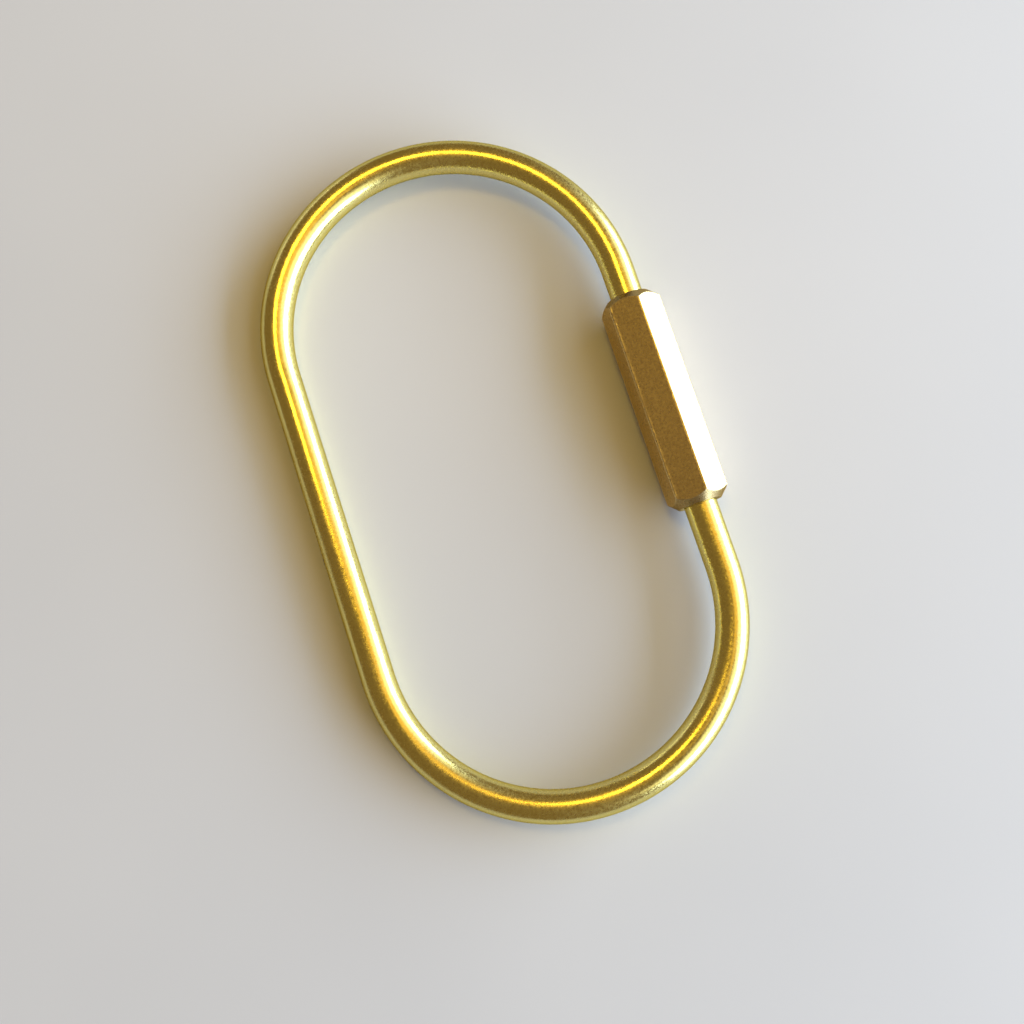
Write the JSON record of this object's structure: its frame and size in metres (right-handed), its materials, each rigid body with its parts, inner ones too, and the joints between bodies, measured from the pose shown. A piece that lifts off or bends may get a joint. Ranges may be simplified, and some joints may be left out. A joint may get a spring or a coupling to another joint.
{
  "type": "screw-lock key ring",
  "caption": "Flat oval key ring bent from round brass wire, its gap closed by a long hexagonal sleeve that screws along the wire.",
  "frame": {"origin": "middle of the oval loop's window, on the wire's centreline plane", "axes": "+Y along the loop's long axis towards the end where the sleeve's thread is, +X towards the sleeve's side, +Z square to the flat loop"},
  "size_m": [0.0362, 0.0634, 0.0056],
  "materials": {
    "wire": "drawn wire, semi-polished, lightly worn",
    "sleeve": "satin turned and milled bar, edges worn bright",
    "ring": "natural nylon, matt"
  },
  "bodies": {
    "loop": {"wire_loop": "wire"},
    "ring": {"friction_ring": "ring"},
    "sleeve": {"hex_sleeve": "sleeve"}
  },
  "joints": [
    {"name": "sleeve_travel", "type": "slide", "parent": "loop", "child": "ring", "axis": [0, -1, 0], "range_m": [0, 0.008]},
    {"name": "sleeve_turn", "type": "hinge", "parent": "ring", "child": "sleeve", "pos_m": [0.016, 0.0015, 0], "axis": [0, -1, 0], "range_deg": [0, 5760]}
  ],
  "couplings": [
    {"joint": "sleeve_turn", "follows": "sleeve_travel", "rad_per_m": 12566}
  ]
}
